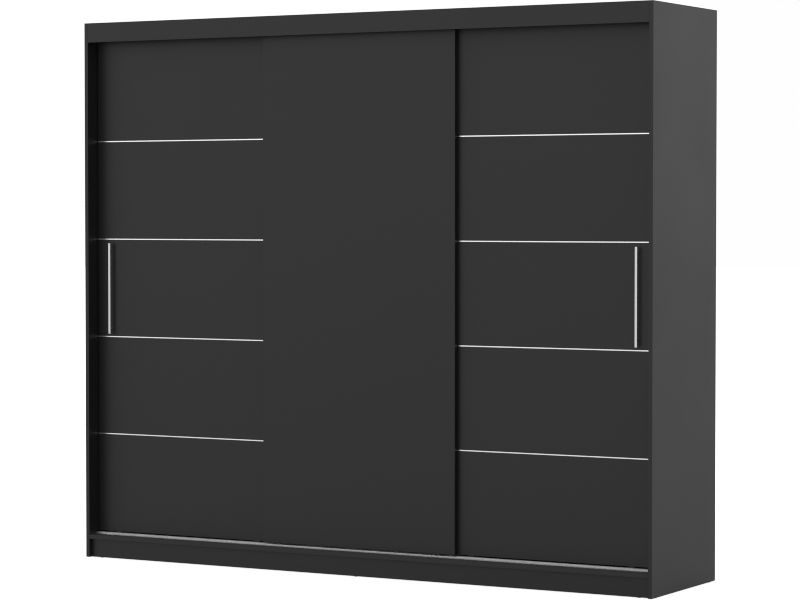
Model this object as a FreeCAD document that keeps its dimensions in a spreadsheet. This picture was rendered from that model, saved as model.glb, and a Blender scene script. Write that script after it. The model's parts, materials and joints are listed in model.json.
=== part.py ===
"""Wardrobe with three sliding doors, as a parametric FreeCAD document.

The cabinet is 2500 mm wide, 2150 mm high and 580 mm deep. Two outer doors run on the rear track and
the middle door runs on the front track. The frame has +X along the width, +Y from the front to the
back and +Z up, with the origin on the floor under the middle of the cabinet. Lengths are millimetres.
"""
import FreeCAD, Part

import os

import Sketcher

# ---------------------------------------------------------------------------------------------
# Driving sizes: alias, millimetres, meaning
# ---------------------------------------------------------------------------------------------
SIZES = [
    ("overall_width", 2500.0, "outside width over the side panels"),
    ("overall_height", 2154.0, "from the floor to the top"),
    ("overall_depth", 580.0, "from the front edges to the rear of the back panels"),
    ("board", 16.0, "thickness of the cabinet boards"),
    ("edge_round", 0.8, "radius along the front edges of the boards"),
    ("back_thickness", 3.0, "thickness of the back panels"),
    ("back_side_gap", 0.5, "back panels from the side panels"),
    ("back_margin", 2.0, "back panels stop this far inside the outline"),
    ("back_joint", 1.0, "gap between two back panels"),
    ("glide_height", 2.0, "floor glides under the boards"),
    ("glide_radius", 6.5, "floor glides"),
    ("glide_inset", 45.0, "glides from the ends of their boards"),
    ("fascia_height", 77.5, "board that hides the top track"),
    ("plinth_height", 76.0, "floor to the underside of the bottom panel"),
    ("plinth_setback", 18.0, "front plinth behind the front edges"),
    ("rear_plinth_inset", 30.0, "rear plinth in front of the back panels"),
    ("door_thickness", 16.0, "door panels"),
    ("door_round", 1.0, "radius along the edges of the doors"),
    ("front_door_setback", 42.0, "face of the middle door behind the front edges"),
    ("track_pitch", 23.0, "from one running plane to the other"),
    ("door_overlap", 43.0, "a door over its neighbour when closed"),
    ("door_side_gap", 2.0, "outer doors from the side panels"),
    ("middle_offset", 4.5, "middle door to the left of the middle of the cabinet"),
    ("door_lift", 13.0, "bottom of the doors above the bottom panel"),
    ("door_head_gap", 22.0, "top of the doors below the top panel"),
    ("strip_height", 4.0, "visible height of a trim strip"),
    ("strip_thickness", 1.9, "depth of a trim strip"),
    ("strip_proud", 0.4, "trim strips stand out of the door face"),
    ("lowest_strip", 394.6, "bottom of the door to the middle of the lowest strip"),
    ("strip_pitch", 393.4, "from one trim strip to the next"),
    ("handle_length", 365.0, "handle bar"),
    ("handle_width", 9.8, "handle bar"),
    ("handle_depth", 7.0, "handle bar"),
    ("handle_gap", 13.8, "finger gap behind the handle bar"),
    ("handle_inset", 63.3, "handle bar from the outer edge of its door"),
    ("handle_drop", 2.2, "middle of the handle below the middle of its two strips"),
    ("handle_round", 1.0, "radius along the edges of the handle bar"),
    ("post_radius", 3.5, "handle posts"),
    ("post_inset", 24.0, "handle posts from the ends of the bar"),
    ("door_skin", 3.5, "wood left in front of the runner pockets"),
    ("runner_inset", 95.0, "runners from the side edges of their door"),
    ("housing_length", 60.0, "roller housings"),
    ("housing_height", 30.0, "roller housings"),
    ("wheel_radius", 13.0, "rolling radius on the rib"),
    ("wheel_flange", 2.0, "flanges beyond the rolling radius"),
    ("wheel_width", 6.3, "wheels along their axles"),
    ("wheel_chamfer", 0.8, "outer edges of the wheels"),
    ("wheel_room", 2.0, "clearance round a wheel in its housing"),
    ("side_play", 0.5, "a wheel from the walls of its housing"),
    ("rolling_gap", 0.15, "tread of a wheel above the rib"),
    ("axle_radius", 2.0, "steel axles of the wheels"),
    ("axle_recess", 0.5, "ends of an axle inside its housing"),
    ("running_fit", 0.05, "radial clearance of a wheel or roller on its pin"),
    ("rib_width", 2.0, "running ribs of the bottom track"),
    ("rib_height", 6.0, "running ribs above the bottom panel"),
    ("rib_play", 0.4, "groove of a wheel beside the rib"),
    ("groove_slope", 0.6, "taper of the groove up to the flange"),
    ("bottom_web", 1.5, "walls of the bottom track"),
    ("track_height", 6.4, "flat top of the bottom track above the bottom panel"),
    ("track_setback", 1.0, "front of the bottom track behind the face of the middle door"),
    ("track_tail", 13.0, "bottom track behind the rear rib"),
    ("track_gap", 4.25, "partitions and shelves behind the bottom track"),
    ("groove_width", 7.6, "grooves of the bottom track, one round each rib"),
    ("top_web", 1.5, "web and flanges of the top track"),
    ("flange_depth", 18.0, "top track below the top panel"),
    ("track_end_gap", 1.0, "ends of the tracks from the side panels"),
    ("block_length", 50.0, "guide blocks"),
    ("block_height", 25.0, "guide blocks"),
    ("guide_pin_radius", 3.0, "pins of the guide blocks"),
    ("guide_head", 0.8, "head of a guide pin beyond the pin"),
    ("guide_head_height", 1.5, "head of a guide pin"),
    ("roller_height", 10.0, "guide rollers"),
    ("roller_lift", 7.0, "guide rollers above the doors"),
    ("roller_play", 0.75, "a guide roller from the flanges beside it"),
    ("roller_float", 0.3, "up and down play of a guide roller"),
    ("collar_radius", 5.0, "shoulder under a guide roller"),
    ("top_space", 368.0, "clear height above the side top shelves"),
    ("middle_pitch", 395.0, "from one middle shelf to the next"),
    ("shelf_gap", 0.5, "ends of a shelf from the boards beside it"),
    ("shelf_back_gap", 2.0, "shelves from the back panels"),
    ("pin_radius", 2.5, "shelf pins"),
    ("pin_depth", 9.0, "shelf pins inside the boards"),
    ("pin_reach", 8.0, "shelf pins under the shelves"),
    ("pin_inset", 50.0, "shelf pins from the front and rear of a shelf"),
    ("rail_radius", 12.5, "hanging rails"),
    ("rail_wall", 1.2, "wall of the hanging rails"),
    ("rail_drop", 60.0, "hanging rails below the top shelves"),
    ("rail_fit", 0.2, "hanging rail inside its bracket"),
    ("bracket_radius", 22.0, "base plate of a rail bracket"),
    ("bracket_plate", 3.0, "base plate of a rail bracket"),
    ("bracket_collar", 12.0, "length of the collar of a rail bracket"),
    ("bracket_wall", 2.5, "wall of the collar of a rail bracket"),
    ("bracket_screw_drop", 18.0, "screws of a rail bracket from its centre"),
    ("wall_plate", 2.0, "steel of the wall brackets"),
    ("wall_bracket_size", 40.0, "legs of the wall brackets"),
    ("wall_bracket_inset", 60.0, "wall brackets beyond the partitions"),
    ("wall_hole_radius", 3.0, "holes for the wall screws"),
    ("screw_length", 14.5, "countersunk fixing screws"),
    ("screw_radius", 1.75, "countersunk fixing screws"),
    ("screw_head_radius", 3.5, "countersunk fixing screws"),
    ("screw_head_height", 1.5, "countersunk fixing screws"),
    ("screw_end_inset", 60.0, "first track screw from the end of the track"),
    ("cam_radius", 7.5, "cam locks"),
    ("cam_depth", 12.5, "cam locks"),
    ("cam_distance", 34.0, "cam locks from the end of their board"),
    ("dowel_radius", 3.5, "cam dowels in the board with the cam lock"),
    ("thread_radius", 2.5, "threaded end of a cam dowel"),
    ("thread_depth", 11.0, "threaded end of a cam dowel"),
    ("cam_gap", 0.2, "end of a cam dowel from its cam lock"),
    ("front_connector", 140.0, "front row of cam locks behind the front edges"),
    ("rear_connector", 90.0, "rear row of cam locks in front of the back panels"),
]

STRIPS_PER_DOOR = 4
MIDDLE_SHELVES = 4
TRACK_SCREWS = 6
GLIDES_PER_PLINTH = 3

document = FreeCAD.newDocument("sliding_door_wardrobe")


def make_sheet():
    """Write the driving sizes into a spreadsheet, one row for each."""
    spreadsheet = document.addObject("Spreadsheet::Sheet", "sizes")
    for row, (alias, value, meaning) in enumerate(SIZES, start=1):
        spreadsheet.set("A%d" % row, meaning)
        spreadsheet.set("B%d" % row, repr(value))
        spreadsheet.setAlias("B%d" % row, alias)
    document.recompute()
    return spreadsheet


sheet = make_sheet()

# ---------------------------------------------------------------------------------------------
# Places that several pieces share, as expressions on the sheet
# ---------------------------------------------------------------------------------------------
ZERO = "0"
FRONT = "(-sizes.overall_depth / 2)"
REAR = "(sizes.overall_depth / 2 - sizes.back_thickness)"
INSIDE = "(sizes.overall_width / 2 - sizes.board)"
BAY_WIDTH = "((2 * " + INSIDE + " - 2 * sizes.board) / 3)"
PARTITION_IN = "(" + BAY_WIDTH + " / 2)"
PARTITION_OUT = "(" + PARTITION_IN + " + sizes.board)"
FLOOR_TOP = "(sizes.plinth_height + sizes.board)"
CEILING = "(sizes.overall_height - sizes.board)"
BOARD_DEPTH = "(" + REAR + " - " + FRONT + ")"
RUNNER_DEPTH = "(sizes.door_thickness - sizes.door_skin)"
DOOR_WIDTH = "((2 * " + INSIDE + " + 2 * sizes.door_overlap - 2 * sizes.door_side_gap) / 3)"
DOOR_BOTTOM = "(" + FLOOR_TOP + " + sizes.door_lift)"
DOOR_TOP = "(" + CEILING + " - sizes.door_head_gap)"
FRONT_FACE = "(" + FRONT + " + sizes.front_door_setback)"
REAR_FACE = "(" + FRONT_FACE + " + sizes.track_pitch)"
RUNNER_FROM_FACE = "(sizes.door_skin + " + RUNNER_DEPTH + " / 2)"
FRONT_RUNNER = "(" + FRONT_FACE + " + " + RUNNER_FROM_FACE + ")"
TRACK_REAR = "(" + FRONT_RUNNER + " + sizes.track_pitch + sizes.track_tail)"
INTERIOR_FRONT = "(" + TRACK_REAR + " + sizes.track_gap)"
INTERIOR_DEPTH = "(" + REAR + " - " + INTERIOR_FRONT + ")"
TOP_SHELF = "(" + CEILING + " - sizes.top_space - sizes.board)"
TRACK_LENGTH = "(2 * " + INSIDE + " - 2 * sizes.track_end_gap)"
TRACK_START = "(-" + INSIDE + " + sizes.track_end_gap)"
AXLE_HEIGHT = "(" + FLOOR_TOP + " + sizes.rib_height + sizes.rolling_gap + sizes.wheel_radius)"
ROLLER_RADIUS = "((sizes.track_pitch - sizes.top_web) / 2 - sizes.roller_play)"
ROLLER_BOTTOM = "(" + DOOR_TOP + " + sizes.roller_lift)"
DOWEL_REACH = "(sizes.cam_distance - sizes.cam_radius - sizes.cam_gap)"

DIRECTIONS = {
    "+x": FreeCAD.Vector(1, 0, 0),
    "-x": FreeCAD.Vector(-1, 0, 0),
    "+y": FreeCAD.Vector(0, 1, 0),
    "-y": FreeCAD.Vector(0, -1, 0),
    "+z": FreeCAD.Vector(0, 0, 1),
    "-z": FreeCAD.Vector(0, 0, -1),
}

sub_parts = []


# ---------------------------------------------------------------------------------------------
# Building blocks
# ---------------------------------------------------------------------------------------------
def number(expression):
    """The value of an expression on the sheet."""
    return float(sheet.evalExpression(expression))


def moved(point, axis, amount):
    """A point, as three expressions, moved along an axis such as "+x" by an amount."""
    index = "xyz".index(axis[1])
    result = list(point)
    result[index] = "(%s %s %s)" % (point[index], axis[0], amount)
    return tuple(result)


def place(thing, point):
    """Bind the position of an object to three expressions."""
    for letter, expression in zip("xyz", point):
        thing.setExpression(".Placement.Base." + letter, expression)


def node(thing, name):
    """Name an object as a sub-part that is written to its own file."""
    thing.Label = name
    sub_parts.append(thing)
    return thing


def box(name, low, size):
    """A block with its lowest corner and its three sizes bound to expressions."""
    block = document.addObject("Part::Box", name)
    for property_name, expression in zip(("Length", "Width", "Height"), size):
        block.setExpression(property_name, expression)
    place(block, low)
    return block


def cylinder(name, start, axis, radius, length):
    """A round bar that starts at a point and runs along an axis."""
    bar = document.addObject("Part::Cylinder", name)
    turn = FreeCAD.Rotation(DIRECTIONS["+z"], DIRECTIONS[axis])
    bar.Placement = FreeCAD.Placement(FreeCAD.Vector(), turn)
    bar.setExpression("Radius", radius)
    bar.setExpression("Height", length)
    place(bar, start)
    return bar


def cone(name, start, axis, start_radius, end_radius, length):
    """A cone that starts at a point and runs along an axis."""
    head = document.addObject("Part::Cone", name)
    turn = FreeCAD.Rotation(DIRECTIONS["+z"], DIRECTIONS[axis])
    head.Placement = FreeCAD.Placement(FreeCAD.Vector(), turn)
    head.setExpression("Radius1", start_radius)
    head.setExpression("Radius2", end_radius)
    head.setExpression("Height", length)
    place(head, start)
    return head


def fuse(name, pieces):
    """Several shapes joined into one solid."""
    whole = document.addObject("Part::MultiFuse", name)
    whole.Shapes = pieces
    whole.Refine = True
    return whole


def group(name, pieces):
    """Several separate solids kept together as one object."""
    together = document.addObject("Part::Compound", name)
    together.Links = pieces
    return together


def cut(name, base, cutters):
    """A base with the shapes of the cutters taken out of it."""
    result = document.addObject("Part::Cut", name)
    result.Base = base
    result.Tool = cutters[0] if len(cutters) == 1 else group(name + "_cutters", cutters)
    return result


def outline(body, role, corners):
    """A closed outline on one of a body's origin planes, with every corner bound to the sheet."""
    sketch = body.newObject("Sketcher::SketchObject", body.Name + "_outline")
    plane = [item for item in body.Origin.OriginFeatures if item.Role == role][0]
    sketch.AttachmentSupport = [(plane, "")]
    sketch.MapMode = "FlatFace"
    points = [FreeCAD.Vector(number(across), number(along), 0) for across, along in corners]
    count = len(points)
    for index in range(count):
        line = Part.LineSegment(points[index], points[(index + 1) % count])
        sketch.addGeometry(line, False)
    for index in range(count):
        sketch.addConstraint(Sketcher.Constraint("Coincident", index, 2, (index + 1) % count, 1))
    for index, (across, along) in enumerate(corners):
        for kind, expression in (("DistanceX", across), ("DistanceY", along)):
            value = number(expression)
            which = sketch.addConstraint(Sketcher.Constraint(kind, -1, 1, index, 1, value))
            sketch.setExpression("Constraints[%d]" % which, expression)
    return sketch


def extrusion(name, role, corners, length, point):
    """A body padded from an outline on one of its origin planes."""
    body = document.addObject("PartDesign::Body", name)
    sketch = outline(body, role, corners)
    pad = body.newObject("PartDesign::Pad", name + "_pad")
    pad.Profile = sketch
    pad.setExpression("Length", length)
    place(body, point)
    document.recompute()
    return body


def turned(name, corners, axis, point):
    """A body turned from an outline of (radius, along) corners, with its axis along an axis."""
    body = document.addObject("PartDesign::Body", name)
    sketch = outline(body, "XZ_Plane", corners)
    revolution = body.newObject("PartDesign::Revolution", name + "_turned")
    revolution.Profile = sketch
    revolution.ReferenceAxis = (sketch, ["V_Axis"])
    revolution.Angle = 360
    turn = FreeCAD.Rotation(DIRECTIONS["+z"], DIRECTIONS[axis])
    body.Placement = FreeCAD.Placement(FreeCAD.Vector(), turn)
    place(body, point)
    document.recompute()
    return body


def board(name, low, size, radius, rounded):
    """A board with the edges round some of its faces rounded.

    rounded names those faces: "x0" is the face at the low end of X, "y1" the one at the high end of Y.
    """
    corners = [(ZERO, ZERO), (size[0], ZERO), (size[0], size[1]), (ZERO, size[1])]
    body = extrusion(name, "XY_Plane", corners, size[2], low)
    pad = body.Tip
    edges = []
    for index, edge in enumerate(pad.Shape.Edges, start=1):
        for face in rounded:
            axis = "xyz".index(face[0])
            level = 0.0 if face[1] == "0" else number(size[axis])
            ends = [vertex.Point[axis] for vertex in edge.Vertexes]
            if max(abs(end - level) for end in ends) < 1e-6:
                edges.append("Edge%d" % index)
                break
    fillet = body.newObject("PartDesign::Fillet", name + "_edges")
    fillet.Base = (pad, edges)
    fillet.setExpression("Radius", radius)
    document.recompute()
    return body


# ---------------------------------------------------------------------------------------------
# Fasteners
# ---------------------------------------------------------------------------------------------
def fixing_screw(name, head, axis):
    """A countersunk screw whose head is flush at a point and which is driven along an axis."""
    top = cone(name + "_head", head, axis, "sizes.screw_head_radius", "sizes.screw_radius",
               "sizes.screw_head_height")
    start = moved(head, axis, "sizes.screw_head_height")
    shank = cylinder(name + "_shank", start, axis, "sizes.screw_radius",
                     "(sizes.screw_length - sizes.screw_head_height)")
    return fuse(name, [top, shank])


def connector(name, joint, into_board, opening):
    """A cam lock and its dowel, where the end of a board meets the face of another.

    joint is the middle of the board's thickness at its end, into_board is the way from there into
    the board, and opening is the way to the face that the cam lock is set in.
    """
    centre = moved(joint, into_board, "sizes.cam_distance")
    face = moved(centre, opening, "sizes.board / 2")
    inwards = {"+": "-", "-": "+"}[opening[0]] + opening[1]
    lock = cylinder(name + "_lock", face, inwards, "sizes.cam_radius", "sizes.cam_depth")
    shank = cylinder(name + "_shank", joint, into_board, "sizes.dowel_radius", DOWEL_REACH)
    start = moved(joint, into_board, "-1 * sizes.thread_depth")
    thread = cylinder(name + "_thread", start, into_board, "sizes.thread_radius", "sizes.thread_depth")
    return lock, fuse(name + "_dowel", [shank, thread])


def make_connectors():
    """Cam locks and dowels at the ends of the boards between the sides and of the partitions."""
    top_middle = "(" + CEILING + " + sizes.board / 2)"
    bottom_middle = "(sizes.plinth_height + sizes.board / 2)"
    fascia_middle = "(sizes.overall_height - sizes.fascia_height / 2)"
    plinth_middle = "((sizes.glide_height + sizes.plinth_height) / 2)"
    front_row = "(" + FRONT + " + sizes.front_connector)"
    rear_row = "(" + REAR + " - sizes.rear_connector)"
    fascia_y = "(" + FRONT + " + sizes.board / 2)"
    plinth_y = "(" + FRONT + " + sizes.plinth_setback + sizes.board / 2)"
    rear_plinth_y = "(" + REAR + " - sizes.rear_plinth_inset - sizes.board / 2)"
    partition_middle = "(" + PARTITION_IN + " + sizes.board / 2)"
    pairs = []
    for side, sign, into_board in (("left", "-", "+x"), ("right", "", "-x")):
        end = sign + INSIDE
        for row, depth in (("front", front_row), ("rear", rear_row)):
            stem = side + "_" + row
            pairs.append(connector(stem + "_top", (end, depth, top_middle), into_board, "-z"))
            pairs.append(connector(stem + "_bottom", (end, depth, bottom_middle), into_board, "-z"))
            upper = (sign + partition_middle, depth, CEILING)
            lower = (sign + partition_middle, depth, FLOOR_TOP)
            pairs.append(connector(stem + "_upper", upper, "-z", into_board))
            pairs.append(connector(stem + "_lower", lower, "+z", into_board))
        pairs.append(connector(side + "_fascia", (end, fascia_y, fascia_middle), into_board, "+y"))
        pairs.append(connector(side + "_plinth", (end, plinth_y, plinth_middle), into_board, "+y"))
        rear_plinth = (end, rear_plinth_y, plinth_middle)
        pairs.append(connector(side + "_rear_plinth", rear_plinth, into_board, "-y"))
    locks = node(group("cam_locks", [lock for lock, dowel in pairs]), "cam_locks")
    dowels = node(group("cam_dowels", [dowel for lock, dowel in pairs]), "cam_dowels")
    return locks, dowels


def track_screw_places():
    """The places of the screws along a track."""
    span = "(" + TRACK_LENGTH + " - 2 * sizes.screw_end_inset)"
    first = "(" + TRACK_START + " + sizes.screw_end_inset)"
    return ["(%s + %d * %s / %d)" % (first, index, span, TRACK_SCREWS - 1)
            for index in range(TRACK_SCREWS)]


def rail_centre_height():
    """Height of the hanging rails."""
    return "(" + TOP_SHELF + " - sizes.rail_drop)"


def rail_depth():
    """Middle of the interior from front to back, where the hanging rails are."""
    return "((" + INTERIOR_FRONT + " + " + REAR + ") / 2)"


def make_screws():
    """The countersunk screws of the tracks, the rail brackets and the wall brackets."""
    screws = []
    bottom_y = "(" + FRONT_RUNNER + " + sizes.track_pitch / 2)"
    for index, across in enumerate(track_screw_places()):
        top_head = (across, FRONT_RUNNER, "(" + CEILING + " - sizes.top_web)")
        screws.append(fixing_screw("top_screw_%d" % index, top_head, "+z"))
        bottom_head = (across, bottom_y, "(" + FLOOR_TOP + " + sizes.track_height)")
        screws.append(fixing_screw("bottom_screw_%d" % index, bottom_head, "-z"))
    for name, start, axis in rail_ends():
        face = moved(start, axis, "sizes.bracket_plate")
        outwards = {"+": "-", "-": "+"}[axis[0]] + axis[1]
        for index, up in enumerate(("+z", "-z")):
            head = moved(face, up, "sizes.bracket_screw_drop")
            screws.append(fixing_screw("%s_screw_%d" % (name, index), head, outwards))
    for side, sign in (("left", "-"), ("right", "")):
        across = sign + "(" + PARTITION_OUT + " + sizes.wall_bracket_inset)"
        depth = "(" + REAR + " - sizes.wall_bracket_size / 2)"
        head = (across, depth, "(" + CEILING + " - sizes.wall_plate)")
        screws.append(fixing_screw(side + "_wall_screw", head, "+z"))
    return node(group("fixing_screws", screws), "fixing_screws")


def rail_ends():
    """The four ends of the hanging rails: a name, a point on the board and the way to the rail."""
    height = rail_centre_height()
    depth = rail_depth()
    return [
        ("left_outer", ("-" + INSIDE, depth, height), "+x"),
        ("left_inner", ("-" + PARTITION_OUT, depth, height), "-x"),
        ("right_inner", (PARTITION_OUT, depth, height), "+x"),
        ("right_outer", (INSIDE, depth, height), "-x"),
    ]


# ---------------------------------------------------------------------------------------------
# Shelves
# ---------------------------------------------------------------------------------------------
def shelf_plan():
    """Each shelf: its name, its low X, its width and the height of its underside."""
    width = "(" + BAY_WIDTH + " - 2 * sizes.shelf_gap)"
    left = "(-" + INSIDE + " + sizes.shelf_gap)"
    right = "(" + PARTITION_OUT + " + sizes.shelf_gap)"
    middle = "(-" + PARTITION_IN + " + sizes.shelf_gap)"
    plan = [
        ("left_top_shelf", left, width, TOP_SHELF),
        ("right_top_shelf", right, width, TOP_SHELF),
    ]
    for index in range(1, MIDDLE_SHELVES + 1):
        height = "(%s + %d * sizes.middle_pitch)" % (FLOOR_TOP, index)
        plan.append(("middle_shelf_%d" % index, middle, width, height))
    return plan


def make_shelves():
    """The shelves, on four pins each, and the pins."""
    pins = []
    for name, low_x, width, height in shelf_plan():
        depth = "(" + INTERIOR_DEPTH + " - sizes.shelf_back_gap)"
        size = (width, depth, "sizes.board")
        low = (low_x, INTERIOR_FRONT, height)
        node(board(name + "_board", low, size, "sizes.edge_round", ("y0",)), name)
        left_board = "(" + low_x + " - sizes.shelf_gap)"
        right_board = "(" + low_x + " + " + width + " + sizes.shelf_gap)"
        front_pin = "(" + INTERIOR_FRONT + " + sizes.pin_inset)"
        rear_pin = "(" + REAR + " - sizes.shelf_back_gap - sizes.pin_inset)"
        level = "(" + height + " - sizes.pin_radius)"
        length = "(sizes.pin_depth + sizes.pin_reach)"
        for row, along in (("front", front_pin), ("rear", rear_pin)):
            left_start = (left_board + " - sizes.pin_depth", along, level)
            right_start = (right_board + " + sizes.pin_depth", along, level)
            stem = name + "_" + row
            pins.append(cylinder(stem + "_pin_left", left_start, "+x", "sizes.pin_radius", length))
            pins.append(cylinder(stem + "_pin_right", right_start, "-x", "sizes.pin_radius", length))
    return node(group("shelf_pins", pins), "shelf_pins")


# ---------------------------------------------------------------------------------------------
# Cabinet
# ---------------------------------------------------------------------------------------------
def top_track_corners():
    """Section of the top track, as (depth, height): a web with three flanges that hang from it."""
    low = "(" + CEILING + " - sizes.flange_depth)"
    web = "(" + CEILING + " - sizes.top_web)"
    first = "(" + FRONT_RUNNER + " - sizes.track_pitch / 2 - sizes.top_web / 2)"
    corners = [(first, CEILING)]
    for index in range(3):
        near = "(%s + %d * sizes.track_pitch)" % (first, index)
        far = "(" + near + " + sizes.top_web)"
        corners += [(near, web), (near, low), (far, low), (far, web)]
    corners[1:2] = []
    corners[-1:] = [(corners[-1][0], CEILING)]
    return corners


def bottom_track_corners():
    """Section of the bottom track, as (depth, height): a flat top with a groove round each rib."""
    wall = "sizes.bottom_web"
    front = "(" + FRONT_FACE + " + sizes.track_setback)"
    rear_runner = "(" + FRONT_RUNNER + " + sizes.track_pitch)"
    base = "(" + FLOOR_TOP + " + sizes.bottom_web)"
    top = "(" + FLOOR_TOP + " + sizes.track_height)"
    under = "(" + top + " - sizes.bottom_web)"
    rib_top = "(" + FLOOR_TOP + " + sizes.rib_height)"
    outside = [(front, FLOOR_TOP), (front, top)]
    hollows = []
    start = "(" + front + " + " + wall + ")"
    for runner in (FRONT_RUNNER, rear_runner):
        groove = ["(" + runner + sign + "sizes.groove_width / 2)" for sign in (" - ", " + ")]
        rib = ["(" + runner + sign + "sizes.rib_width / 2)" for sign in (" - ", " + ")]
        outside += [(groove[0], top), (groove[0], base), (rib[0], base), (rib[0], rib_top)]
        outside += [(rib[1], rib_top), (rib[1], base), (groove[1], base), (groove[1], top)]
        hollows.append((start, "(" + groove[0] + " - " + wall + ")"))
        start = "(" + groove[1] + " + " + wall + ")"
    hollows.append((start, "(" + TRACK_REAR + " - " + wall + ")"))
    outside += [(TRACK_REAR, top), (TRACK_REAR, FLOOR_TOP)]
    for near, far in reversed(hollows):
        outside += [(far, FLOOR_TOP), (far, under), (near, under), (near, FLOOR_TOP)]
    return outside


def make_tracks(screws):
    """The two-channel top track and the two-groove bottom track, both extruded along X."""
    start = (TRACK_START, ZERO, ZERO)
    for name, corners in (("top_track", top_track_corners()), ("bottom_track", bottom_track_corners())):
        section = extrusion(name + "_section", "YZ_Plane", corners, TRACK_LENGTH, start)
        node(cut(name + "_drilled", section, [screws]), name)


def make_carcass(fixings):
    """Sides, top, bottom, fascia, plinths and partitions, bored for their fixings."""
    height = "(sizes.overall_height - sizes.glide_height)"
    side_size = ("sizes.board", "sizes.overall_depth", height)
    span = "(2 * " + INSIDE + ")"
    round_edge = "sizes.edge_round"
    for side, low_x in (("left", "(-sizes.overall_width / 2)"), ("right", INSIDE)):
        blank = board(side + "_side_blank", (low_x, FRONT, "sizes.glide_height"), side_size,
                      round_edge, ("y0", "z1"))
        node(cut(side + "_side_bored", blank, fixings), side + "_side_panel")
    low = ("-" + INSIDE, "(" + FRONT + " + sizes.board)", CEILING)
    size = (span, "(" + BOARD_DEPTH + " - sizes.board)", "sizes.board")
    node(cut("top_bored", box("top_blank", low, size), fixings), "top_panel")
    low = ("-" + INSIDE, FRONT, "sizes.plinth_height")
    blank = board("bottom_blank", low, (span, BOARD_DEPTH, "sizes.board"), round_edge, ("y0",))
    node(cut("bottom_bored", blank, fixings), "bottom_panel")
    low = ("-" + INSIDE, FRONT, "(sizes.overall_height - sizes.fascia_height)")
    blank = board("fascia_blank", low, (span, "sizes.board", "sizes.fascia_height"), round_edge, ("y0",))
    node(cut("fascia_bored", blank, fixings), "front_fascia")

    plinth_size = (span, "sizes.board", "(sizes.plinth_height - sizes.glide_height)")
    front_plinth = "(" + FRONT + " + sizes.plinth_setback)"
    rear_plinth = "(" + REAR + " - sizes.rear_plinth_inset - sizes.board)"
    for side, depth in (("front", front_plinth), ("rear", rear_plinth)):
        low = ("-" + INSIDE, depth, "sizes.glide_height")
        blank = box(side + "_plinth_blank", low, plinth_size)
        node(cut(side + "_plinth_bored", blank, fixings), side + "_plinth")
    partition_size = ("sizes.board", INTERIOR_DEPTH, "(" + CEILING + " - " + FLOOR_TOP + ")")
    for side, low_x in (("left", "-" + PARTITION_OUT), ("right", PARTITION_IN)):
        low = (low_x, INTERIOR_FRONT, FLOOR_TOP)
        blank = board(side + "_partition_blank", low, partition_size, round_edge, ("y0",))
        node(cut(side + "_partition_bored", blank, fixings), side + "_partition")

    supports = []
    support_y = "(" + front_plinth + " + sizes.board)"
    support_depth = "(" + rear_plinth + " - " + support_y + ")"
    support_size = ("sizes.board", support_depth, plinth_size[2])
    for side, low_x in (("left", "-" + PARTITION_OUT), ("right", PARTITION_IN)):
        low = (low_x, support_y, "sizes.glide_height")
        supports.append(box(side + "_support", low, support_size))
    node(group("plinth_supports", supports), "plinth_supports")


def make_glides():
    """Round plastic glides under the side panels and under both plinths."""
    places = []
    front_end = "(" + FRONT + " + sizes.glide_inset)"
    rear_end = "(" + REAR + " - sizes.glide_inset)"
    side_middle = "(sizes.overall_width / 2 - sizes.board / 2)"
    for across in ("-" + side_middle, side_middle):
        places += [(across, front_end), (across, rear_end)]
    front_plinth = "(" + FRONT + " + sizes.plinth_setback + sizes.board / 2)"
    rear_plinth = "(" + REAR + " - sizes.rear_plinth_inset - sizes.board / 2)"
    span = "(2 * " + INSIDE + " - 2 * sizes.glide_inset)"
    for along in (front_plinth, rear_plinth):
        for index in range(GLIDES_PER_PLINTH):
            fraction = "(%d / %d - 0.5)" % (index, GLIDES_PER_PLINTH - 1)
            places.append(("(" + span + " * " + fraction + ")", along))
    glides = [cylinder("glide_%d" % index, (across, along, ZERO), "+z", "sizes.glide_radius",
                       "sizes.glide_height") for index, (across, along) in enumerate(places)]
    node(group("floor_glides", glides), "floor_glides")


def make_wall_brackets(screws):
    """Two steel angles under the top panel, with a hole for a wall screw in each."""
    brackets = []
    holes = []
    for side, sign in (("left", "-"), ("right", "")):
        centre = sign + "(" + PARTITION_OUT + " + sizes.wall_bracket_inset)"
        low_x = "(" + centre + " - sizes.wall_bracket_size / 2)"
        leg = "sizes.wall_bracket_size"
        upright_low = (low_x, "(" + REAR + " - sizes.wall_plate)", "(" + CEILING + " - " + leg + ")")
        upright = box(side + "_upright", upright_low, (leg, "sizes.wall_plate", leg))
        flat_low = (low_x, "(" + REAR + " - " + leg + ")", "(" + CEILING + " - sizes.wall_plate)")
        flat = box(side + "_flat", flat_low, (leg, leg, "sizes.wall_plate"))
        hole_start = (centre, "(" + REAR + " - 2 * sizes.wall_plate)", "(" + CEILING + " - " + leg + " / 2)")
        hole_length = "(2 * sizes.wall_plate + 2 * sizes.back_thickness)"
        hole = cylinder(side + "_wall_hole", hole_start, "+y", "sizes.wall_hole_radius", hole_length)
        angle = fuse(side + "_angle", [upright, flat])
        brackets.append(cut(side + "_wall_bracket", angle, [hole, screws]))
        holes.append(hole)
    node(group("wall_brackets", brackets), "wall_brackets")
    return holes


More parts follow.
